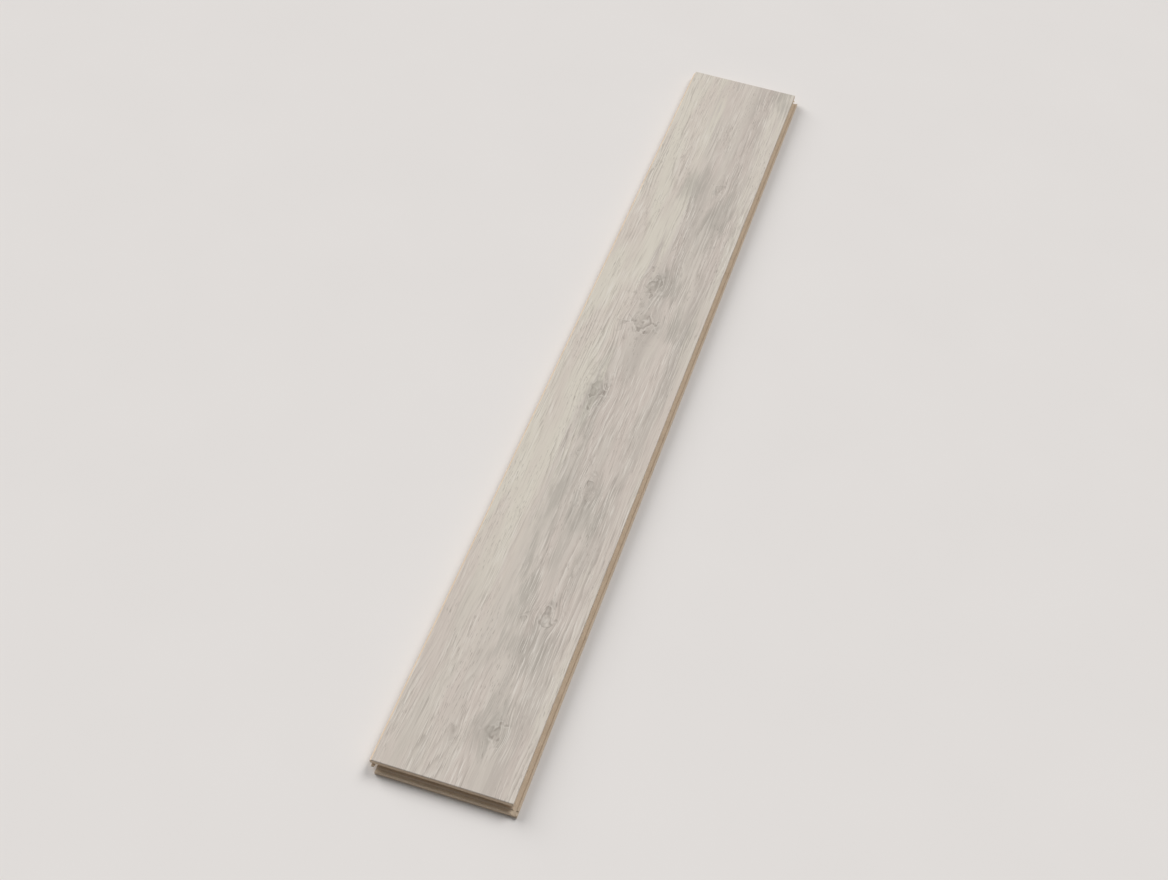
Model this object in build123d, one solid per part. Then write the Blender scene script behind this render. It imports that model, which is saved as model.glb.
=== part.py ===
"""One flooring plank with a locking tongue-and-groove profile on all four sides.

The plank lies face up on its underside. X runs across it, Y along it and Z up. The origin is on the
underside, below the middle of the printed face. The grooved edges, with their longer lower lip, are at
+X and -Y, and the tongues that fit them are at -X and +Y. Sizes are in millimetres.
"""

import os

from build123d import *

# The printed face, measured between the edges that show once the floor is laid.
face_length = 1215.0
face_width = 143.0
thickness = 12.3
edge_bevel = 0.5

# The groove: an upper lip, a slot and the lower lip that the slot leaves.
upper_lip = 4.4
slot_height = 4.2
slot_depth = 3.0
slot_corner_radius = 0.8
lower_lip = thickness - upper_lip - slot_height

# The lock: a dip along the lower lip, outside the face's edge, and the ridge that ends the lip.
lock_depth = 0.9
lock_slope = 0.9
lock_floor = 2.2
ridge_width = 1.8
lip_reach = 2 * lock_slope + lock_floor + ridge_width
lip_corner_radius = 0.4

# The tongue, which fills the slot less these clearances.
fit_clearance = 0.1
nose_clearance = 0.5
shoulder_clearance = 0.3
tongue_reach = slot_depth - nose_clearance
nose_radius = 1.4

node_name = "plank"


def edge_profile(face_span):
    """The plank's section across a face of this span, with its groove at +X and its tongue at -X."""
    half = face_span / 2
    slot_top = lower_lip + slot_height
    slot_end = half - slot_depth
    ridge_start = half + lip_reach - ridge_width
    dip_bottom = lower_lip - lock_depth

    tongue_tip = -half - tongue_reach
    tongue_top = slot_top - fit_clearance
    tongue_underside = lower_lip + fit_clearance
    heel_bottom = dip_bottom + fit_clearance
    shoulder = -half + lip_reach + shoulder_clearance

    printed_face = [(-half + edge_bevel, thickness), (half - edge_bevel, thickness)]
    slot_mouth = [(half, thickness - edge_bevel), (half, slot_top)]
    slot_corners = [(slot_end, slot_top), (slot_end, lower_lip)]
    lock_dip = [
        (half, lower_lip),
        (half + lock_slope, dip_bottom),
        (ridge_start - lock_slope, dip_bottom),
        (ridge_start, lower_lip),
    ]
    lip_corners = [(half + lip_reach, lower_lip), (half + lip_reach, 0)]
    underside_end = [(shoulder, 0), (shoulder, tongue_underside)]
    lock_heel = [
        (-half + lip_reach - ridge_width - fit_clearance, tongue_underside),
        (-half + lock_slope + lock_floor - fit_clearance, heel_bottom),
        (-half + lock_slope + fit_clearance, heel_bottom),
        (-half + fit_clearance, tongue_underside),
    ]
    nose_corners = [(tongue_tip, tongue_underside), (tongue_tip, tongue_top)]
    tongue_root = [(-half, tongue_top), (-half, thickness - edge_bevel)]

    outline = Polyline(
        *printed_face, *slot_mouth, *slot_corners, *lock_dip, *lip_corners,
        *underside_end, *lock_heel, *nose_corners, *tongue_root,
        close=True,
    )
    section = make_face(outline)
    for corners, radius in (
        (slot_corners, slot_corner_radius),
        (lip_corners, lip_corner_radius),
        (nose_corners, nose_radius),
    ):
        section = fillet(vertices_at(section, corners), radius)
    return section


def vertices_at(section, points):
    """The section's own vertices that lie at these points."""
    return [min(section.vertices(), key=lambda v: (Vector(*p) - v.center()).length) for p in points]


def milled_bar(face_span, facing, run):
    """A bar of the plank's section on the plane it faces, long enough to pass the other pair of edges."""
    overrun = tongue_reach + lip_reach
    return extrude(facing * edge_profile(face_span), run / 2 + overrun, both=True)


def plank():
    """Both pairs of edges are milled right through, so the plank is what the two bars have in common.

    Where the lock of one edge crosses the lip of the next, the cutters leave loose crumbs, which fall off.
    """
    across = Plane(origin=(0, 0, 0), x_dir=(1, 0, 0), z_dir=(0, -1, 0))
    along = Plane(origin=(0, 0, 0), x_dir=(0, -1, 0), z_dir=(-1, 0, 0))
    long_edges = milled_bar(face_width, across, face_length)
    end_edges = milled_bar(face_length, along, face_width)
    milled = long_edges & end_edges
    return milled.solids().sort_by(SortBy.VOLUME)[-1]


os.makedirs("parts", exist_ok=True)
export_step(plank(), f"parts/{node_name}.step")
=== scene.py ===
"""One flooring plank, dressed: an embossed wood print, milled fibreboard edges and a paper backing.

Lengths are metres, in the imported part's frame: X across the plank, Y along it, Z up out of the printed
face. The grooved edges are at +X and -Y, and the tongues at -X and +Y.
"""

import functools
import logging
import math
from collections.abc import Iterable
from dataclasses import dataclass
from enum import Enum, IntEnum

import bmesh
import bpy
import numpy as np
from mathutils import Matrix, Vector


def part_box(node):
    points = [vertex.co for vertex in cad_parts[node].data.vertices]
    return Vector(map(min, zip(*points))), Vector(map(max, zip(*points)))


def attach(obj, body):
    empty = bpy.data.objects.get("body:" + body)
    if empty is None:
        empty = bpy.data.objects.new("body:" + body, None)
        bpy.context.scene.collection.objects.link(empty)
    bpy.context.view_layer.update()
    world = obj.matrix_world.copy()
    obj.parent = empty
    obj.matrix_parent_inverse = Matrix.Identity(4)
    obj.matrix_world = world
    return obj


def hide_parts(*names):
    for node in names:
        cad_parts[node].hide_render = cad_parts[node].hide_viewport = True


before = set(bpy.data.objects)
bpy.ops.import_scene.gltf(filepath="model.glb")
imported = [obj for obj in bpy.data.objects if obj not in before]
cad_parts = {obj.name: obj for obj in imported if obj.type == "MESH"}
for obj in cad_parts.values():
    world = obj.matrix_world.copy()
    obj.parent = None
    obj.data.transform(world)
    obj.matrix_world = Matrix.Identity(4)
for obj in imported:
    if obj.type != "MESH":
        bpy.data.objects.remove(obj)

LOG = logging.getLogger("plank")
MM = 0.001
NODE = "plank"
BODY = "root"

Socket = bpy.types.NodeSocket
Feed = Socket | float | tuple[float, ...]
Colour = tuple[float, float, float, float]
Sizes = tuple[float, float, float]

# How a number is eased: where it is still low and where it is high, and then what those two levels are,
# unless they are 0 and 1.
Ease = tuple[float, ...]


class Zone(IntEnum):
    """The plank's surfaces, in the order of its material slots."""

    PRINTED_FACE = 0
    MILLED_EDGE = 1
    BACKING = 2


class Run(Enum):
    """The way a milled bar runs: its turn about Z from a bar that lies along the plank."""

    ALONG = 0.0
    ACROSS = -math.pi / 2


def paint(*parts: int) -> Colour:
    """Turns a colour as a screen shows it into the linear colour that a shader takes.

    Args:
        parts: Its red, green and blue, from 0 to 255.

    Returns:
        The linear colour, opaque.
    """
    shares = [part / 255 for part in parts]
    linear = [s / 12.92 if s <= 0.04045 else ((s + 0.055) / 1.055) ** 2.4 for s in shares]
    return (*linear, 1.0)


def placed(name: str, data: bpy.types.ID) -> bpy.types.Object:
    """Adds an object to the scene.

    Args:
        name: The object's name.
        data: Its mesh, light or camera.

    Returns:
        The object.
    """
    made = bpy.data.objects.new(name, data)
    bpy.context.scene.collection.objects.link(made)
    return made


def shaped(name: str, shape: bmesh.types.BMesh) -> bpy.types.Object:
    """Adds a finished shape to the scene.

    Args:
        name: The object's name.
        shape: The shape, which is used up.

    Returns:
        The object.
    """
    mesh = bpy.data.meshes.new(name)
    shape.to_mesh(mesh)
    shape.free()
    return placed(name, mesh)


class Bench:
    """Adds nodes to one tree and links them, for a finish or for the embossing.

    Its methods take sockets or plain values and hand back the socket that the next step reads.
    """

    def __init__(self, tree: bpy.types.NodeTree) -> None:
        """Takes the tree to work in."""
        self.tree = tree

    def feed(self, socket: Socket, value: Feed) -> None:
        """Links an input, or sets it where the value is a plain one.

        Args:
            socket: The input.
            value: The socket that feeds it, or its value.
        """
        if isinstance(value, bpy.types.NodeSocket):
            self.tree.links.new(value, socket)
        else:
            socket.default_value = value

    def node(self, kind: str, *values: Feed, **settings: object) -> bpy.types.Node:
        """Adds a node.

        Args:
            kind: The node's type.
            values: What its first inputs get, in their order.
            settings: The node's own properties.

        Returns:
            The new node.
        """
        made = self.tree.nodes.new(kind)
        for name, value in settings.items():
            setattr(made, name, value)
        for socket, value in zip(made.inputs, values):
            self.feed(socket, value)
        return made

    def math(self, operation: str, *values: Feed) -> Socket:
        """Returns the number that one of the Math node's operations gives."""
        return self.node("ShaderNodeMath", *values, operation=operation).outputs[0]

    def plus(self, first: Feed, second: Feed) -> Socket:
        """Returns the sum of two numbers."""
        return self.math("ADD", first, second)

    def times(self, first: Feed, second: Feed) -> Socket:
        """Returns the product of two numbers."""
        return self.math("MULTIPLY", first, second)

    def fold(self, operation: str, values: Iterable[Socket]) -> Socket:
        """Returns one number for many, such as the least of them."""
        return functools.reduce(lambda first, second: self.math(operation, first, second), values)

    def vector(self, operation: str, *values: Feed) -> Socket:
        """Returns the vector that one of the Vector Math node's operations gives."""
        return self.node("ShaderNodeVectorMath", *values, operation=operation).outputs["Vector"]

    def measure(self, operation: str, *values: Feed) -> Socket:
        """Returns the number that one of the Vector Math node's operations gives."""
        return self.node("ShaderNodeVectorMath", *values, operation=operation).outputs["Value"]

    def split(self, vector: Socket) -> tuple[Socket, Socket, Socket]:
        """Returns a vector's three parts."""
        return tuple(self.node("ShaderNodeSeparateXYZ", vector).outputs)

    def join(self, *parts: Feed) -> Socket:
        """Returns the vector of three parts."""
        return self.node("ShaderNodeCombineXYZ", *parts).outputs[0]

    def ramp(self, value: Feed, start: float, end: float, low: float = 0.0, high: float = 1.0) -> Socket:
        """Eases a number from one level to another.

        Args:
            value: The number that decides.
            start: Its value where the result is still low.
            end: Its value where the result has become high. It may be less than start.
            low: The result at start and before it.
            high: The result at end and past it.

        Returns:
            The eased number.
        """
        ranges = (start, end, low, high)
        return self.node("ShaderNodeMapRange", value, *ranges, interpolation_type="SMOOTHSTEP").outputs[0]

    def swell(self, value: Socket, rise: Ease, fall: Ease) -> Socket:
        """Returns a number that rises by one ease and falls again by another."""
        return self.times(self.ramp(value, *rise), self.ramp(value, *fall))

    def noise(self, place: Socket, detail: float, roughness: float = 0.5) -> Socket:
        """Draws noise.

        Args:
            place: The place, counted so that the noise's features are about 1 wide.
            detail: How many finer steps they break into.
            roughness: How much each finer step counts.

        Returns:
            The noise, about 0.5 on average.
        """
        made = self.node("ShaderNodeTexNoise", place)
        for name, value in (("Scale", 1.0), ("Detail", detail), ("Roughness", roughness)):
            made.inputs[name].default_value = value
        return made.outputs[0]

    def blend(self, share: Feed, lower: Feed, upper: Feed) -> Socket:
        """Lays one colour over another.

        Args:
            share: How much of the upper colour shows, from 0 to 1.
            lower: The lower colour.
            upper: The upper colour.

        Returns:
            The colour that results.
        """
        made = self.node("ShaderNodeMix", share, data_type="RGBA")
        colours = [s for s in made.inputs if s.enabled and s.type == "RGBA"]
        for socket, colour in zip(colours, (lower, upper)):
            self.feed(socket, colour)
        return next(s for s in made.outputs if s.enabled)


@dataclass(frozen=True)
class Mottle:
    """Noise in patches or streaks along the plank.

    Attributes:
        width: Their usual width.
        length: Their usual length.
        seed: Sets them apart from others.
        detail: How many finer steps they break into.
        roughness: How much each finer step counts.
        ease: How the noise is eased, if it is.
    """

    width: float
    length: float
    seed: float
    detail: float = 1.0
    roughness: float = 0.5
    ease: Ease = ()


class FaceSpot(Bench):
    """The nodes for one place on the face, and the noise that the figure draws there."""

    # How many of their widths streaks stay alike, where knots push them together.
    alike = 30.0

    def __init__(self, tree: bpy.types.NodeTree, place: Socket) -> None:
        """Takes the place.

        Args:
            tree: The tree to work in.
            place: The place on the plank, in metres.
        """
        super().__init__(tree)
        self.across, self.along, self.up = self.split(place)
        self.flat = self.join(self.across, self.along, 0.0)

    def patches(self, mottle: Mottle) -> Socket:
        """Draws patches that lie straight along the plank.

        Args:
            mottle: The patches.

        Returns:
            The noise, eased where the mottle says so.
        """
        steps = (1 / mottle.width, 1 / mottle.length, 0.0)
        return self.drawn(self.vector("MULTIPLY_ADD", self.flat, steps, (0.0, 0.0, mottle.seed)), mottle)

    def streaks(self, bent: Socket, mottle: Mottle) -> Socket:
        """Draws streaks that run along the plank and bend round the knots.

        Args:
            bent: The place across the plank, bent round the knots.
            mottle: The streaks.

        Returns:
            The noise, eased where the mottle says so.
        """
        across = self.math("DIVIDE", bent, mottle.width)
        along = self.math("DIVIDE", self.along, mottle.length)
        aside = self.math("MULTIPLY_ADD", self.across, 1 / (self.alike * mottle.width), mottle.seed)
        return self.drawn(self.join(across, along, aside), mottle)

    def drawn(self, place: Socket, mottle: Mottle) -> Socket:
        """Returns a mottle's noise at a place that is counted in its sizes."""
        noise = self.noise(place, mottle.detail, mottle.roughness)
        return self.ramp(noise, *mottle.ease) if mottle.ease else noise


@dataclass(frozen=True)
class Oval:
    """A mark of the print: a knot, or a grey cloud, longer along the plank than across it."""

    across: float
    along: float
    half_width: float
    half_length: float

    @classmethod
    def all_mm(cls, *rows: tuple[float, ...]) -> "tuple[Oval, ...]":
        """Returns the ovals whose places and sizes are given in millimetres."""
        return tuple(cls(*(size * MM for size in row)) for row in rows)

    def reach(self, spot: FaceSpot, times: float = 1.0) -> Socket:
        """Measures how far a place is from the middle, in sizes of the oval.

        Args:
            spot: The place on the face.
            times: How many times its own size counts as one.

        Returns:
            The vector from the middle, of length 1 on the oval's edge.
        """
        offset = spot.vector("SUBTRACT", spot.flat, (self.across, self.along, 0.0))
        steps = (1 / (times * self.half_width), 1 / (times * self.half_length), 0.0)
        return spot.vector("MULTIPLY", offset, steps)

    @staticmethod
    def nearest(spot: FaceSpot, ovals: "tuple[Oval, ...]") -> Socket:
        """Returns the distance from the nearest of some ovals, in that oval's own sizes."""
        return spot.fold("MINIMUM", [spot.measure("LENGTH", oval.reach(spot)) for oval in ovals])


@dataclass(frozen=True)
class GrainMarks:
    """The sockets of a laid-out figure, each from 0, where there is nothing, to 1."""

    light: Socket
    cream: Socket
    late_wood: Socket
    early_wood: Socket
    fibres: Socket
    pores: Socket
    cloud: Socket
    knot: Socket
    knot_rim: Socket
    # The pale strokes in the knots are painted highlights.
    knot_highlight: Socket


@dataclass(frozen=True)
class Knots:
    """The knots: smudges with broken rims and short strokes, round which the fibres bend.

    Attributes:
        ovals: Where they lie.
        give: How much of a knot's width the fibres give way to.
        give_reach: How far they give way, in the knot's sizes.
        lumps: What makes the knots larger and smaller than their ovals.
        fray: How far the fibres fray them, in their sizes.
        rings: How many rings there are to a knot's size.
        swirl: What turns the rings into swirls.
        swirl_rings: How many rings the swirl moves them by, at most.
        gaps: What breaks the rings.
        near: How far out the rings show, in the knot's sizes.
        arc: Where in a ring its dark arc rises and falls.
        glint: Where in a ring its pale arc rises and falls; the pale arcs are painted highlights.
        curls: The noise along whose middle level lie short dark curls.
        curl: How near to that level a curl is.
        curl_near: How far out the curls show, in the knot's sizes.
        body: How the knot's body fades outwards, in the knot's sizes.
    """

    ovals: tuple[Oval, ...] = Oval.all_mm(
        (23, 360, 4.5, 10),
        (-5, 150, 9, 16),
        (1, 79, 11, 17),
        (-22, 69, 3.5, 7),
        (-17, -48, 8, 17),
        (-8, -148, 2.5, 6),
        (20, -200, 4.5, 9),
        (31, -386, 6.5, 10),
        (10, -395, 2.2, 5),
        (28, -540, 7, 10),
        (-10, -550, 2.5, 6),
    )
    give: float = 0.8
    give_reach: float = 1.9
    lumps: Mottle = Mottle(9 * MM, 13 * MM, 2.8, ease=(0.25, 0.75, 0.5, 1.6))
    fray: Ease = (0.2, 0.8, -0.15, 0.15)
    rings: float = 0.9
    swirl: Mottle = Mottle(10 * MM, 15 * MM, 3.9)
    swirl_rings: float = 2.2
    gaps: Mottle = Mottle(9 * MM, 13 * MM, 6.6, ease=(0.4, 0.58))
    near: Ease = (2.1, 0.9)
    arc: tuple[Ease, Ease] = ((0.35, 0.8), (1.0, 0.82))
    glint: tuple[Ease, Ease] = ((0.0, 0.08), (0.42, 0.15))
    curls: Mottle = Mottle(7 * MM, 13 * MM, 21.4)
    curl: Ease = (0.1, 0.0, 0.0, 0.4)
    curl_near: Ease = (1.8, 0.8)
    body: Ease = (1.7, 0.1)

    def bend(self, spot: FaceSpot, across: Socket) -> Socket:
        """Bends the fibres round the knots.

        Args:
            spot: The place on the face.
            across: The place across the plank.

        Returns:
            The place across, in metres, which stays the same along a bent fibre.
        """
        for knot in self.ovals:
            reach = knot.reach(spot, self.give_reach)
            squared = spot.measure("DOT_PRODUCT", reach, reach)
            fall = spot.math("EXPONENT", spot.times(squared, -1.0))
            push = spot.times(spot.split(reach)[0], fall)
            width = self.give * self.give_reach * knot.half_width
            across = spot.math("MULTIPLY_ADD", push, -width, across)
        return across

    def marks(self, spot: FaceSpot, fibres: Socket) -> tuple[Socket, Socket, Socket]:
        """Works out the knots' marks.

        Args:
            spot: The place on the face.
            fibres: The fine streaks, which fray the knots.

        Returns:
            The knots' bodies, the dark strokes round and in them, and the pale strokes beside those, which
            are painted highlights that give the knots an embossed look.
        """
        size = spot.times(Oval.nearest(spot, self.ovals), spot.patches(self.lumps))
        size = spot.plus(size, spot.ramp(fibres, *self.fray))
        swirl = spot.times(spot.patches(self.swirl), self.swirl_rings)
        turn = spot.math("FRACT", spot.math("MULTIPLY_ADD", size, self.rings, swirl))
        near = spot.times(spot.patches(self.gaps), spot.ramp(size, *self.near))
        arcs = spot.times(spot.swell(turn, *self.arc), near)
        # The pale arcs beside the dark ones are painted highlights, as where embossed relief catches the
        # light.
        glints = spot.times(spot.swell(turn, *self.glint), near)
        from_level = spot.math("ABSOLUTE", spot.math("SUBTRACT", spot.patches(self.curls), 0.5))
        curls = spot.times(spot.ramp(from_level, *self.curl), spot.ramp(size, *self.curl_near))
        return spot.ramp(size, *self.body), spot.math("MAXIMUM", arcs, curls), glints


@dataclass(frozen=True)
class Clouds:
    """The grey clouds round the knots, whose ragged and frayed edges are counted in their sizes."""

    ovals: tuple[Oval, ...] = Oval.all_mm(
        (54, 588, 16, 45),
        (34, 300, 18, 72),
        (-9, 358, 16, 46),
        (11, 152, 20, 55),
        (40, 84, 22, 34),
        (-17, -76, 13, 95),
        (-11, -220, 11, 130),
        (28, -240, 20, 60),
        (31, -424, 26, 56),
        (2, -375, 13, 110),
        (22, -532, 24, 36),
    )
    ragged: Mottle = Mottle(9 * MM, 42 * MM, 3.3, detail=3.0, ease=(0.3, 0.7, -0.4, 0.4))
    fray: Ease = (0.25, 0.75, -0.22, 0.22)
    body: Ease = (1.25, 0.1)

    def cover(self, spot: FaceSpot, fibres: Socket) -> Socket:
        """Works out how dense the clouds are.

        Args:
            spot: The place on the face.
            fibres: The fine streaks, which fray the clouds.

        Returns:
            The clouds' strength.
        """
        frayed = spot.plus(spot.patches(self.ragged), spot.ramp(fibres, *self.fray))
        return spot.ramp(spot.plus(Oval.nearest(spot, self.ovals), frayed), *self.body)


@dataclass(frozen=True)
class CreamBands:
    """The cream band along the tongue's edge, and a fainter one along the groove's.

    Attributes:
        edge: Where along X the band begins and is full, halfway along the plank.
        slant: How far that edge moves in for each metre towards the far end, in metres.
        ragged: How far the edge strays.
        fray: How far the fibres fray it.
        front: How the band breaks up along Y towards the front end.
        faint: Where along X the fainter band begins and is full.
    """

    edge: Ease = (-17 * MM, -25 * MM)
    slant: float = 0.014
    ragged: Mottle = Mottle(9 * MM, 190 * MM, 12.6, detail=2.0, ease=(0.25, 0.75, -12 * MM, 12 * MM))
    fray: Ease = (0.25, 0.75, -5 * MM, 5 * MM)
    front: Ease = (-440 * MM, -260 * MM, 0.25, 1.0)
    faint: Ease = (54 * MM, 62 * MM, 0.0, 0.5)

    def cover(self, spot: FaceSpot, fibres: Socket) -> Socket:
        """Works out how dense the bands are.

        Args:
            spot: The place on the face.
            fibres: The fine streaks, which fray the bands' edges.

        Returns:
            The bands' strength.
        """
        frayed = spot.plus(spot.patches(self.ragged), spot.ramp(fibres, *self.fray))
        across = spot.plus(spot.across, frayed)
        slanted = spot.math("MULTIPLY_ADD", spot.along, -self.slant, across)
        band = spot.times(spot.ramp(slanted, *self.edge), spot.ramp(spot.along, *self.front))
        return spot.math("MAXIMUM", band, spot.ramp(across, *self.faint))


@dataclass(frozen=True)
class GrowthRings:
    """The growth rings, round a pith that wanders below the face, which gives the figure long arches.

    Attributes:
        wander_length: The length of the plank over which the pith strays and sinks.
        stray_seed: Sets its straying apart.
        sink_seed: Sets its sinking apart.
        stray: Where along X it strays to.
        sink: How deep below the face it lies.
        width: The usual width of a ring.
        drift: How uneven the rings are, in rings.
        fray: How far the fibres fray them, in rings.
        own: Each ring's own strength, whose width is counted in rings.
        region: Where on the face the rings show.
        slant: How they fade right above the pith, where the face hardly cuts them.
        late: Where in a ring its dark late wood rises and ends.
        early: Where in a ring its pale early wood rises and ends.
    """

    wander_length: float = 560 * MM
    stray_seed: tuple[float, float] = (0.0, 2.2)
    sink_seed: tuple[float, float] = (5.0, 6.1)
    stray: Ease = (0.25, 0.75, -5 * MM, 13 * MM)
    sink: Ease = (0.3, 0.7, 9 * MM, 33 * MM)
    width: float = 3.5 * MM
    drift: Mottle = Mottle(16 * MM, 260 * MM, 5.9, detail=2.0, ease=(0.2, 0.8, -0.9, 0.9))
    fray: Ease = (0.2, 0.8, -0.2, 0.2)
    own: Mottle = Mottle(1 / 7.3, 110 * MM, 3.1, ease=(0.4, 0.66))
    region: Mottle = Mottle(40 * MM, 230 * MM, 4.7, ease=(0.34, 0.6, 0.15, 1.0))
    slant: Ease = (0.1, 0.55, 0.25, 1.0)
    late: tuple[Ease, Ease] = ((0.55, 0.92), (1.0, 0.95))
    early: tuple[Ease, Ease] = ((0.0, 0.08), (0.45, 0.12))

    def from_pith(self, spot: FaceSpot, bent: Socket) -> tuple[Socket, Socket]:
        """Works out the distance from the pith.

        Args:
            spot: The place on the face.
            bent: The place across the plank, bent round the knots.

        Returns:
            The distance, in metres, and how steeply the face cuts the rings, from 0 right above the pith.
        """
        travelled = spot.math("DIVIDE", spot.along, self.wander_length)
        stray = spot.noise(spot.join(travelled, *self.stray_seed), detail=0.0)
        sink = spot.noise(spot.join(travelled, *self.sink_seed), detail=0.0)
        aside = spot.math("SUBTRACT", bent, spot.ramp(stray, *self.stray))
        away = spot.measure("LENGTH", spot.join(aside, spot.ramp(sink, *self.sink), 0.0))
        return away, spot.math("DIVIDE", spot.math("ABSOLUTE", aside), away)

    def lines(self, spot: FaceSpot, bent: Socket, fibres: Socket) -> tuple[Socket, Socket]:
        """Works out where rings end in dark late wood and begin in pale early wood.

        Args:
            spot: The place on the face.
            bent: The place across the plank, bent round the knots.
            fibres: The fine streaks, which fray the lines.

        Returns:
            The late wood and the early wood.
        """
        away, steepness = self.from_pith(spot, bent)
        frayed = spot.plus(spot.patches(self.drift), spot.ramp(fibres, *self.fray))
        count = spot.math("MULTIPLY_ADD", away, 1 / self.width, frayed)
        grown = spot.math("FRACT", count)
        number = spot.math("DIVIDE", spot.math("FLOOR", count), self.own.width)
        travelled = spot.math("DIVIDE", spot.along, self.own.length)
        own = spot.drawn(spot.join(number, travelled, self.own.seed), self.own)
        region = spot.times(spot.patches(self.region), spot.ramp(steepness, *self.slant))
        strength = spot.times(own, region)
        late, early = (spot.times(spot.swell(grown, *part), strength) for part in (self.late, self.early))
        return late, early


@dataclass(frozen=True)
class GrainFigure:
    """The figure of the wood, which the print and the embossing share, so that they are in register."""

    knots: Knots = Knots()
    clouds: Clouds = Clouds()
    cream: CreamBands = CreamBands()
    rings: GrowthRings = GrowthRings()
    waver: Mottle = Mottle(24 * MM, 75 * MM, 7.7, ease=(0.2, 0.8, -0.8 * MM, 0.8 * MM))
    fibre: Mottle = Mottle(1.05 * MM, 34 * MM, 1.3, detail=2.0, roughness=0.6)
    pore: Mottle = Mottle(0.9 * MM, 11 * MM, 8.1, roughness=0.6, ease=(0.6, 0.72))
    porous: Mottle = Mottle(22 * MM, 90 * MM, 9.4, ease=(0.42, 0.62))
    band: Mottle = Mottle(26 * MM, 700 * MM, 15.5, detail=2.0, roughness=0.6, ease=(0.36, 0.64))

    def lay_out(self, spot: FaceSpot) -> GrainMarks:
        """Adds the figure's nodes to a tree.

        Args:
            spot: The place on the face.

        Returns:
            The figure's marks.
        """
        bent = self.knots.bend(spot, spot.plus(spot.across, spot.patches(self.waver)))
        fibres = spot.streaks(bent, self.fibre)
        late_wood, early_wood = self.rings.lines(spot, bent, fibres)
        knot, knot_rim, knot_highlight = self.knots.marks(spot, fibres)
        return GrainMarks(
            light=spot.streaks(bent, self.band),
            cream=self.cream.cover(spot, fibres),
            late_wood=late_wood,
            early_wood=early_wood,
            fibres=fibres,
            pores=spot.times(spot.streaks(bent, self.pore), spot.patches(self.porous)),
            cloud=self.clouds.cover(spot, fibres),
            knot=knot,
            knot_rim=knot_rim,
            knot_highlight=knot_highlight,
        )


@dataclass(frozen=True)
class Ink:
    """A colour that is laid over a ground.

    Attributes:
        colour: The colour.
        share: How much of it shows where it is laid on in full.
        ease: How the noise that it follows is eased, if it is.
    """

    colour: Colour
    share: float
    ease: Ease = ()

    def shown(self, bench: Bench, mark: Socket) -> Socket:
        """Works out how much of it shows.

        Args:
            bench: Where the nodes go.
            mark: The mark or the noise that it follows.

        Returns:
            The share that shows.
        """
        if self.ease:
            return bench.ramp(mark, *self.ease, 0.0, self.share)
        return bench.times(mark, self.share)


class Coat(Bench):
    """The nodes of one new material, from the place on the piece to its shader."""

    def __init__(self, name: str) -> None:
        """Makes the material, still plain.

        Args:
            name: The material's name.
        """
        self.material = bpy.data.materials.new(name)
        self.material.use_nodes = True
        super().__init__(self.material.node_tree)
        self.shader = self.tree.nodes["Principled BSDF"]
        self.place = self.node("ShaderNodeTexCoord").outputs["Object"]

    def grain(self, sizes: Sizes, detail: float = 2.0, roughness: float = 0.5) -> Socket:
        """Returns noise whose features have these sizes along X, Y and Z."""
        place = self.vector("MULTIPLY", self.place, tuple(1 / size for size in sizes))
        return self.noise(place, detail, roughness)

    def inked(self, ground: Feed, *layers: tuple[Socket, Ink]) -> Socket:
        """Lays inks over a ground, one after the other.

        Args:
            ground: The ground.
            layers: The inks, each after the mark or the noise that it follows.

        Returns:
            The colour that results.
        """
        for mark, ink in layers:
            ground = self.blend(ink.shown(self, mark), ground, ink.colour)
        return ground

    def wear(self, colour: Socket, roughness: Feed, gloss: float) -> None:
        """Feeds the shader.

        Args:
            colour: The surface's colour.
            roughness: Its roughness.
            gloss: How much it shines.
        """
        for name, value in (("Base Color", colour), ("Roughness", roughness), ("Specular IOR Level", gloss)):
            self.feed(self.shader.inputs[name], value)

    def relieve(self, height: Socket, depth: float) -> None:
        """Gives the surface a fine relief.

        Args:
            height: The relief, from 0 to 1.
            depth: The height of 1, in metres.
        """
        bump = self.node("ShaderNodeBump")
        self.feed(bump.inputs["Distance"], depth)
        self.feed(bump.inputs["Height"], height)
        self.feed(self.shader.inputs["Normal"], bump.outputs[0])


class Finish:
    """A material made of nodes, of which each finish lays on the surface."""

    name: str

    def build(self) -> bpy.types.Material:
        """Makes the material.

        Returns:
            The material.
        """
        coat = Coat(self.name)
        self.surface(coat)
        return coat.material

    def surface(self, coat: Coat) -> None:
        """Lays on the surface; each finish has its own."""
        raise NotImplementedError


DARK_LINE = paint(155, 146, 137)
# The pale line colour is the limed print's, and also that of the knots' painted highlights.
LIMED_LINE_AND_HIGHLIGHT = paint(220, 214, 205)


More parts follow.
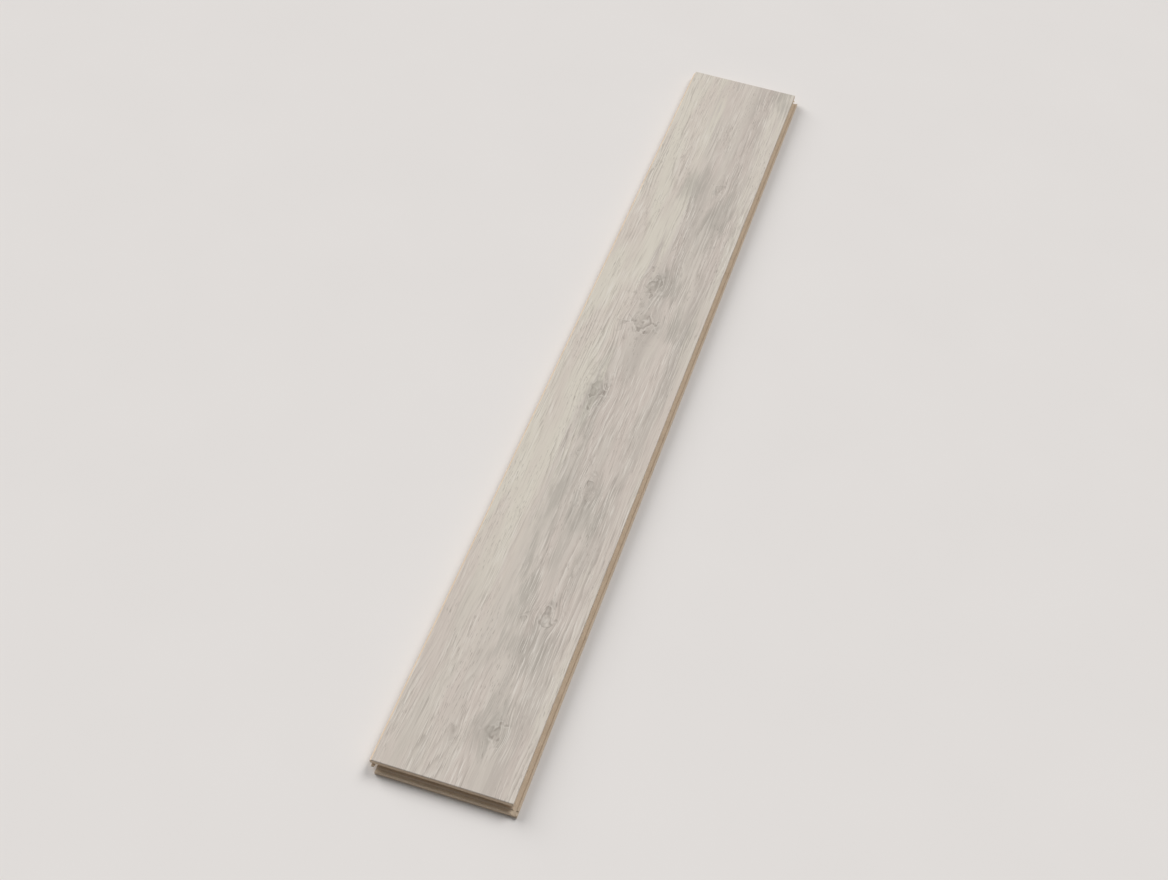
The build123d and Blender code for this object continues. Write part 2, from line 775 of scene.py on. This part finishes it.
@dataclass(frozen=True)
class WoodPrint(Finish):
    """The matt print of limed pine, in pale greige, whose inks are laid on in the order given."""

    figure: GrainFigure
    name: str = "wood_print"
    ash: Colour = paint(187, 178, 169)
    greige: Colour = paint(204, 195, 185)
    cream: Ink = Ink(paint(212, 205, 192), 0.9)
    rose: Ink = Ink(paint(203, 191, 182), 0.65, (0.42, 0.64))
    warm_sizes: Sizes = (24 * MM, 150 * MM, 1.0)
    smoke: Ink = Ink(paint(160, 155, 146), 0.52)
    dark_fibre: Ink = Ink(DARK_LINE, 0.46, (0.46, 0.34))
    pale_fibre: Ink = Ink(LIMED_LINE_AND_HIGHLIGHT, 0.7, (0.54, 0.64))
    combed_sizes: Sizes = (30 * MM, 170 * MM, 1.0)
    combed: Ease = (0.38, 0.6, 0.2, 1.0)
    late_wood: Ink = Ink(DARK_LINE, 0.55)
    early_wood: Ink = Ink(LIMED_LINE_AND_HIGHLIGHT, 0.4)
    pore: Ink = Ink(paint(140, 131, 122), 0.5)
    knot: Ink = Ink(paint(149, 141, 132), 0.22)
    # The knots' pale strokes are painted highlights, in the pale line colour.
    knot_highlight: Ink = Ink(LIMED_LINE_AND_HIGHLIGHT, 0.4)
    knot_rim: Ink = Ink(paint(116, 107, 98), 0.4)
    fine_sizes: Sizes = (0.5 * MM, 2.5 * MM, 1.0)
    relief: float = 0.03 * MM
    roughness: Ease = (0.3, 0.7, 0.64, 0.8)
    gloss: float = 0.16

    def surface(self, coat: Coat) -> None:
        """Prints the figure, band by band and line by line.

        Args:
            coat: The material's nodes.
        """
        marks = self.figure.lay_out(FaceSpot(coat.tree, coat.place))
        warm = coat.grain(self.warm_sizes, detail=1.0)
        combed = coat.ramp(coat.grain(self.combed_sizes, detail=1.0), *self.combed)
        ground = coat.blend(marks.light, self.ash, self.greige)
        ground = coat.inked(ground, (marks.cream, self.cream), (warm, self.rose), (marks.cloud, self.smoke))
        for ink in (self.dark_fibre, self.pale_fibre):
            share = coat.times(ink.shown(coat, marks.fibres), combed)
            ground = coat.blend(share, ground, ink.colour)
        ground = coat.inked(
            ground,
            (marks.late_wood, self.late_wood),
            (marks.early_wood, self.early_wood),
            (marks.pores, self.pore),
            (marks.knot, self.knot),
            (marks.knot_highlight, self.knot_highlight),
            (marks.knot_rim, self.knot_rim),
        )
        fine = coat.grain(self.fine_sizes)
        coat.relieve(fine, self.relief)
        coat.wear(ground, coat.ramp(fine, *self.roughness), self.gloss)


@dataclass(frozen=True)
class MilledFibreboard(Finish):
    """The cut edge of the pressed board, whose fibres lie flat."""

    thickness: float
    name: str = "milled_fibreboard"
    board: Colour = paint(214, 195, 172)
    dense: Ink = Ink(paint(199, 179, 155), 0.45, (0.3, 0.5))
    patch: Ink = Ink(paint(199, 179, 155), 0.35, (0.4, 0.7))
    fleck: Ink = Ink(paint(224, 208, 189), 0.4, (0.55, 0.75))
    speck: Ink = Ink(paint(156, 135, 112), 0.4, (0.42, 0.25))
    patch_sizes: Sizes = (14 * MM, 14 * MM, 3 * MM)
    fibre_sizes: Sizes = (2.2 * MM, 2.2 * MM, 0.3 * MM)
    relief: float = 0.06 * MM
    roughness: Ease = (0.3, 0.7, 0.95, 0.78)
    gloss: float = 0.2

    def surface(self, coat: Coat) -> None:
        """Lays the fibres in flat layers and darkens the board towards its faces.

        Args:
            coat: The material's nodes.
        """
        height = coat.math("DIVIDE", coat.split(coat.place)[2], self.thickness)
        from_middle = coat.math("ABSOLUTE", coat.math("SUBTRACT", height, 0.5))
        patches = coat.grain(self.patch_sizes)
        fibres = coat.grain(self.fibre_sizes, detail=3.0, roughness=0.6)
        ground = coat.inked(self.board, (from_middle, self.dense), (patches, self.patch))
        ground = coat.inked(ground, (fibres, self.fleck), (fibres, self.speck))
        coat.relieve(fibres, self.relief)
        coat.wear(ground, coat.ramp(fibres, *self.roughness), self.gloss)


@dataclass(frozen=True)
class PaperBacking(Finish):
    """The plain paper that balances the board underneath."""

    name: str = "paper_backing"
    paper: Colour = paint(190, 178, 158)
    mottle: Ink = Ink(paint(172, 159, 138), 0.7, (0.35, 0.7))
    thread: Ink = Ink(paint(208, 198, 181), 0.5, (0.6, 0.75))
    mottle_sizes: Sizes = (6 * MM, 9 * MM, 1.0)
    thread_sizes: Sizes = (0.7 * MM, 3.5 * MM, 1.0)
    relief: float = 0.03 * MM
    roughness: Ease = (0.3, 0.7, 0.7, 0.82)
    gloss: float = 0.3

    def surface(self, coat: Coat) -> None:
        """Mottles the paper and scatters fibres in it.

        Args:
            coat: The material's nodes.
        """
        mottling = coat.grain(self.mottle_sizes, detail=3.0)
        threads = coat.grain(self.thread_sizes)
        ground = coat.inked(self.paper, (mottling, self.mottle), (threads, self.thread))
        coat.relieve(threads, self.relief)
        coat.wear(ground, coat.ramp(mottling, *self.roughness), self.gloss)


@dataclass(frozen=True)
class Corner:
    """A corner of the section, rounded where it has a radius."""

    out: float
    up: float
    radius: float = 0.0


@dataclass(frozen=True)
class LockingProfile:
    """The section of the tongue and the groove, and of the lock between them."""

    thickness: float
    edge_bevel: float = 0.5 * MM
    upper_lip: float = 4.4 * MM
    slot_height: float = 4.2 * MM
    slot_depth: float = 3.0 * MM
    slot_corner_radius: float = 0.8 * MM
    lock_depth: float = 0.9 * MM
    lock_slope: float = 0.9 * MM
    lock_floor: float = 2.2 * MM
    ridge_width: float = 1.8 * MM
    lip_corner_radius: float = 0.4 * MM
    fit_clearance: float = 0.1 * MM
    nose_clearance: float = 0.5 * MM
    shoulder_clearance: float = 0.3 * MM
    nose_radius: float = 1.4 * MM
    arc_steps: int = 8

    @property
    def lip_reach(self) -> float:
        """How far the lower lip stands out of the face's edge."""
        return 2 * self.lock_slope + self.lock_floor + self.ridge_width

    @property
    def tongue_reach(self) -> float:
        """How far the tongue stands out of the face's edge."""
        return self.slot_depth - self.nose_clearance

    @property
    def rim(self) -> float:
        """The height of the bevel's lower edge."""
        return self.thickness - self.edge_bevel

    def corners(self, half: float) -> list[Corner]:
        """Lists the section's corners, from the printed face round by the groove.

        Args:
            half: Half the face's span.

        Returns:
            The corners.
        """
        lower_lip = self.thickness - self.upper_lip - self.slot_height
        slot_top = lower_lip + self.slot_height
        dip = lower_lip - self.lock_depth
        slope = self.lock_slope
        ridge = half + self.lip_reach - self.ridge_width
        lip_end = half + self.lip_reach
        spare = self.fit_clearance
        shoulder = -half + self.lip_reach + self.shoulder_clearance
        under, top, heel = lower_lip + spare, slot_top - spare, dip + spare
        tip = -half - self.tongue_reach
        return [
            Corner(-half + self.edge_bevel, self.thickness),
            Corner(half - self.edge_bevel, self.thickness),
            Corner(half, self.rim),
            Corner(half, slot_top),
            Corner(half - self.slot_depth, slot_top, self.slot_corner_radius),
            Corner(half - self.slot_depth, lower_lip, self.slot_corner_radius),
            Corner(half, lower_lip),
            Corner(half + slope, dip),
            Corner(ridge - slope, dip),
            Corner(ridge, lower_lip),
            Corner(lip_end, lower_lip, self.lip_corner_radius),
            Corner(lip_end, 0.0, self.lip_corner_radius),
            Corner(shoulder, 0.0),
            Corner(shoulder, under),
            Corner(ridge - 2 * half - spare, under),
            Corner(ridge - 2 * half - slope - spare, heel),
            Corner(-half + slope + spare, heel),
            Corner(-half + spare, under),
            Corner(tip, under, self.nose_radius),
            Corner(tip, top, self.nose_radius),
            Corner(-half, top),
            Corner(-half, self.rim),
        ]

    def outline(self, half: float) -> list[Vector]:
        """Rounds the corners that have a radius, which are all right angles.

        Args:
            half: Half the face's span.

        Returns:
            The outline's points.
        """
        points = []
        corners = self.corners(half)
        for before, corner, after in zip(corners[-1:] + corners[:-1], corners, corners[1:] + corners[:1]):
            at = Vector((corner.out, corner.up))
            if not corner.radius:
                points.append(at)
                continue
            back = (Vector((before.out, before.up)) - at).normalized() * corner.radius
            on = (Vector((after.out, after.up)) - at).normalized() * corner.radius
            for step in range(self.arc_steps + 1):
                turn = math.pi / 2 * step / self.arc_steps
                points.append(at + back * (1 - math.sin(turn)) + on * (1 - math.cos(turn)))
        return points


@dataclass(frozen=True)
class Plank:
    """The plank: its milled body, its embossed face and its finishes."""

    profile: LockingProfile
    half_width: float
    half_length: float
    figure: GrainFigure
    cell_across: float = 0.85 * MM
    cell_along: float = 2.2 * MM
    emboss_depth: float = 0.1 * MM
    knot_depth: float = 0.08 * MM
    emboss_margin: float = 1.5 * MM
    touch_distance: float = 0.01 * MM
    least_upward: float = 0.5
    sharp_degrees: float = 25.0
    name: str = "plank_dressed"

    @classmethod
    def from_frame(cls, figure: GrainFigure) -> "Plank":
        """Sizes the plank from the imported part's box.

        Args:
            figure: The figure of the wood.

        Returns:
            The plank, not yet built.
        """
        lowest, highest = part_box(NODE)
        profile = LockingProfile(highest.z - lowest.z)
        return cls(profile, highest.x - profile.lip_reach, -lowest.y - profile.lip_reach, figure)

    def build(self) -> bpy.types.Object:
        """Mills, faces, embosses and dresses the plank.

        Returns:
            The finished piece.
        """
        body = self.milled_body()
        self.lay_face(body)
        piece = self.as_piece(body)
        self.emboss(piece)
        self.dress(piece)
        return piece

    def milled_bar(self, half: float, other_half: float, run: Run) -> bpy.types.Object:
        """Makes a bar of the profile, long enough to pass the other pair of edges.

        Args:
            half: Half the face's span across the bar.
            other_half: Half its span along the bar.
            run: The way the bar runs.

        Returns:
            The bar.
        """
        reach = other_half + self.profile.lip_reach + self.profile.tongue_reach
        turn = Matrix.Rotation(run.value, 3, "Z")
        outline = self.profile.outline(half)
        shape = bmesh.new()
        near, far = (
            [shape.verts.new(turn @ Vector((p.x, end * reach, p.y))) for p in outline] for end in (-1, 1)
        )
        shape.faces.new(near)
        shape.faces.new(far)
        for side in zip(near, near[1:] + near[:1], far[1:] + far[:1], far):
            shape.faces.new(side)
        bmesh.ops.recalc_face_normals(shape, faces=shape.faces)
        return shaped(f"bar_{run.name.lower()}", shape)

    def milled_body(self) -> bmesh.types.BMesh:
        """Mills both pairs of edges right through: the body is what the two bars have in common.

        Returns:
            The body, without the crumbs that the cutters leave at its corners.
        """
        long_edges = self.milled_bar(self.half_width, self.half_length, Run.ALONG)
        end_edges = self.milled_bar(self.half_length, self.half_width, Run.ACROSS)
        cut = long_edges.modifiers.new("end_edges", "BOOLEAN")
        cut.operation = "INTERSECT"
        cut.solver = "EXACT"
        cut.object = end_edges
        body = bmesh.new()
        milled = long_edges.evaluated_get(bpy.context.evaluated_depsgraph_get())
        body.from_mesh(milled.to_mesh())
        milled.to_mesh_clear()
        for bar in (long_edges, end_edges):
            bpy.data.meshes.remove(bar.data)
        self.drop_crumbs(body)
        return body

    @staticmethod
    def drop_crumbs(body: bmesh.types.BMesh) -> None:
        """Keeps only what hangs together with the printed face.

        Args:
            body: The body as milled.
        """
        kept = set()
        reached = [max(body.verts, key=lambda vert: vert.co.z)]
        while reached:
            vert = reached.pop()
            if vert not in kept:
                kept.add(vert)
                reached.extend(edge.other_vert(vert) for edge in vert.link_edges)
        crumbs = [vert for vert in body.verts if vert not in kept]
        bmesh.ops.delete(body, geom=crumbs, context="VERTS")

    def lay_face(self, body: bmesh.types.BMesh) -> None:
        """Swaps the plain top for a face of small cells, joined to the rim by the bevel.

        Args:
            body: The milled body.
        """
        lowest = self.profile.rim - self.touch_distance
        upward = [face for face in body.faces if face.normal.z > self.least_upward]
        top = [face for face in upward if min(vert.co.z for vert in face.verts) > lowest]
        bmesh.ops.delete(body, geom=top, context="FACES")
        edge_of_rim = {v for e in body.edges if e.is_boundary for v in e.verts}

        xs = self.spaced(self.half_width, self.cell_across)
        ys = self.spaced(self.half_length, self.cell_along)
        cells = [[body.verts.new((x, y, self.profile.thickness)) for y in ys] for x in xs]
        for column, beside in zip(cells, cells[1:]):
            for cell in zip(column, beside, beside[1:], column[1:]):
                body.faces.new(cell)

        sides = (
            ([column[0] for column in cells], 1, -self.half_length),
            (cells[-1], 0, self.half_width),
            ([column[-1] for column in cells][::-1], 1, self.half_length),
            (cells[0][::-1], 0, -self.half_width),
        )
        for upper, axis, place in sides:
            lower = [v for v in edge_of_rim if abs(v.co[axis] - place) < self.touch_distance]
            lower.sort(key=lambda v: (v.co - upper[0].co).length)
            body.faces.new([*lower, *reversed(upper)])
        body.normal_update()

    def spaced(self, half: float, cell: float) -> list[float]:
        """Returns evenly spaced places from one bevel to the other."""
        inner = half - self.profile.edge_bevel
        return np.linspace(-inner, inner, round(2 * inner / cell) + 1).tolist()

    def as_piece(self, body: bmesh.types.BMesh) -> bpy.types.Object:
        """Makes the piece of the finished body, and sorts its faces by finish.

        Args:
            body: The body with its face.

        Returns:
            The piece, still without materials.

        Raises:
            ValueError: The body isn't closed.
        """
        if not all(edge.is_manifold for edge in body.edges):
            raise ValueError("the plank's body isn't closed")
        for face in body.faces:
            middle = face.calc_center_median().z
            face.smooth = True
            if face.normal.z > self.least_upward and middle > self.profile.rim:
                face.material_index = Zone.PRINTED_FACE
            elif face.normal.z < -self.least_upward and middle < self.profile.fit_clearance:
                face.material_index = Zone.BACKING
            else:
                face.material_index = Zone.MILLED_EDGE
        return shaped(self.name, body)

    def emboss(self, piece: bpy.types.Object) -> None:
        """Presses the growth lines and knots into the face, in register with the print.

        Args:
            piece: The plank, whose mesh is replaced by the embossed one.
        """
        tree = bpy.data.node_groups.new("emboss", "GeometryNodeTree")
        for way in ("INPUT", "OUTPUT"):
            tree.interface.new_socket("Geometry", in_out=way, socket_type="NodeSocketGeometry")
        spot = FaceSpot(tree, tree.nodes.new("GeometryNodeInputPosition").outputs[0])
        marks = self.figure.lay_out(spot)
        lines = spot.times(marks.late_wood, self.emboss_depth)
        knots = spot.times(marks.knot, self.knot_depth)
        depth = spot.times(spot.math("MAXIMUM", lines, knots), self.inside(spot))
        move = spot.node("GeometryNodeSetPosition", spot.node("NodeGroupInput").outputs[0])
        spot.feed(move.inputs["Offset"], spot.join(0.0, 0.0, spot.times(depth, -1.0)))
        spot.node("NodeGroupOutput", move.outputs[0])

        press = piece.modifiers.new("emboss", "NODES")
        press.node_group = tree
        plain = piece.data
        pressed = piece.evaluated_get(bpy.context.evaluated_depsgraph_get())
        piece.data = bpy.data.meshes.new_from_object(pressed)
        piece.data.name = self.name
        piece.modifiers.clear()
        bpy.data.meshes.remove(plain)
        bpy.data.node_groups.remove(tree)

    def inside(self, spot: FaceSpot) -> Socket:
        """Works out which places of the face are embossed.

        Args:
            spot: The place on the plank.

        Returns:
            1 within the face, falling to 0 at its edges, and 0 below it.
        """
        bevel = self.profile.edge_bevel
        from_edges = [
            spot.math("SUBTRACT", half - bevel, spot.math("ABSOLUTE", place))
            for place, half in ((spot.across, self.half_width), (spot.along, self.half_length))
        ]
        nearest = spot.fold("MINIMUM", from_edges)
        on_top = spot.math("GREATER_THAN", spot.up, self.profile.rim + bevel / 2)
        return spot.times(spot.ramp(nearest, 0.0, self.emboss_margin), on_top)

    def dress(self, piece: bpy.types.Object) -> None:
        """Gives each zone its finish, with sharp edges between flat surfaces.

        Args:
            piece: The plank.
        """
        finishes = {
            Zone.PRINTED_FACE: WoodPrint(self.figure),
            Zone.MILLED_EDGE: MilledFibreboard(self.profile.thickness),
            Zone.BACKING: PaperBacking(),
        }
        for zone in Zone:
            piece.data.materials.append(finishes[zone].build())
        piece.data.set_sharp_from_angle(angle=math.radians(self.sharp_degrees))


@dataclass(frozen=True)
class StudioFloor(Finish):
    """A plain pale floor that runs out into the backdrop."""

    name: str = "studio_floor"
    pale: Colour = paint(231, 227, 224)
    shade: Colour = paint(228, 224, 221)
    mottle_sizes: Sizes = (0.15, 0.15, 1.0)
    roughness: float = 0.95
    radius: float = 9.0
    sides: int = 96
    fade: Ease = (4.0, 8.55)
    drop: float = 0.1 * MM

    def surface(self, coat: Coat) -> None:
        """Mottles the floor faintly and lets its far rim go over into the backdrop.

        Args:
            coat: The material's nodes.
        """
        coat.wear(coat.blend(coat.grain(self.mottle_sizes), self.pale, self.shade), self.roughness, 0.0)
        gone = coat.ramp(coat.measure("LENGTH", coat.place), *self.fade)
        clear = coat.node("ShaderNodeBsdfTransparent")
        over = coat.node("ShaderNodeMixShader", gone, coat.shader.outputs[0], clear.outputs[0])
        coat.feed(coat.tree.nodes["Material Output"].inputs["Surface"], over.outputs[0])

    def lay(self) -> bpy.types.Object:
        """Lays the floor just under the plank, so that the two don't coincide.

        Returns:
            The floor.
        """
        shape = bmesh.new()
        bmesh.ops.create_circle(shape, cap_ends=True, radius=self.radius, segments=self.sides)
        floor = shaped(self.name, shape)
        floor.data.materials.append(self.build())
        floor.location.z = -self.drop
        return floor


@dataclass(frozen=True)
class WindowLight:
    """Soft, even light from behind the plank, as through a window.

    Angles are degrees, the azimuth from +Y to the left. The strength is in watts a square metre.
    """

    name: str
    azimuth: float
    elevation: float
    spread: float
    strength: float

    def open(self) -> bpy.types.Object:
        """Lets the light in.

        Returns:
            The light.
        """
        data = bpy.data.lights.new(self.name, "SUN")
        data.angle = math.radians(self.spread)
        data.energy = self.strength
        light = placed(self.name, data)
        from_left, rise = math.radians(self.azimuth), math.radians(self.elevation)
        towards = Vector((-math.sin(from_left), math.cos(from_left), math.tan(rise)))
        light.rotation_euler = (-towards).to_track_quat("-Z", "Y").to_euler()
        return light


@dataclass(frozen=True)
class Studio:
    """Soft light from two windows, an even fill, a pale backdrop and the camera.

    The camera's angles are degrees, the azimuth its turn about Z from looking along +Y. The lens and the
    sensor's width are millimetres.
    """

    windows: tuple[WindowLight, ...] = (
        WindowLight("left_window", azimuth=58.0, elevation=25.0, spread=36.0, strength=2.75),
        WindowLight("back_window", azimuth=-21.0, elevation=38.0, spread=30.0, strength=1.87),
    )
    fill: float = 0.21
    backdrop: Colour = paint(228, 225, 222)
    azimuth: float = 12.6
    elevation: float = 46.0
    roll: float = 6.4
    lens: float = 56.4
    sensor: float = 36.0
    distance: float = 2.055
    aim: tuple[float, float, float] = (-0.008, -0.126, 0.006)

    def light(self) -> None:
        """Opens the windows and sets the world's fill and backdrop."""
        for window in self.windows:
            window.open()
        world = bpy.data.worlds.new("studio")
        world.use_nodes = True
        bpy.context.scene.world = world
        bench = Bench(world.node_tree)
        even = bench.tree.nodes["Background"]
        even.inputs["Color"].default_value = (1.0, 1.0, 1.0, 1.0)
        even.inputs["Strength"].default_value = self.fill
        behind = bench.node("ShaderNodeBackground", self.backdrop)
        path = bench.node("ShaderNodeLightPath").outputs
        rays = (path["Is Camera Ray"], path["Is Glossy Ray"], path["Is Transmission Ray"])
        seen = bench.fold("MAXIMUM", rays)
        chosen = bench.node("ShaderNodeMixShader", seen, even.outputs[0], behind.outputs[0])
        bench.feed(bench.tree.nodes["World Output"].inputs["Surface"], chosen.outputs[0])

    def place_camera(self) -> bpy.types.Object:
        """Sets the camera up at the photograph's angle.

        Returns:
            The camera.
        """
        turn, rise, roll = (math.radians(a) for a in (self.azimuth, self.elevation, self.roll))
        back = Vector((math.sin(turn) * math.cos(rise), -math.cos(turn) * math.cos(rise), math.sin(rise)))
        data = bpy.data.cameras.new("camera")
        data.sensor_width = self.sensor
        data.lens = self.lens
        camera = placed("camera", data)
        camera.location = Vector(self.aim) + back * self.distance
        level = (-back).to_track_quat("-Z", "Y").to_matrix()
        camera.rotation_euler = (level @ Matrix.Rotation(roll, 3, "Z")).to_euler()
        bpy.context.scene.camera = camera
        bpy.context.scene.view_settings.view_transform = "Standard"
        return camera


def main() -> None:
    """Builds the plank, then the studio round it, and reports each piece."""
    logging.basicConfig(level=logging.INFO, format="%(message)s")
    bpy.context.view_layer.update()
    plank = Plank.from_frame(GrainFigure())
    piece = plank.build()
    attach(piece, BODY)
    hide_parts(NODE)
    LOG.info("%s: %d faces, %d materials", piece.name, len(piece.data.polygons), len(piece.data.materials))

    floor = StudioFloor().lay()
    studio = Studio()
    studio.light()
    camera = studio.place_camera()
    LOG.info("%s laid, %s placed", floor.name, camera.name)


if __name__ == "__main__":
    main()
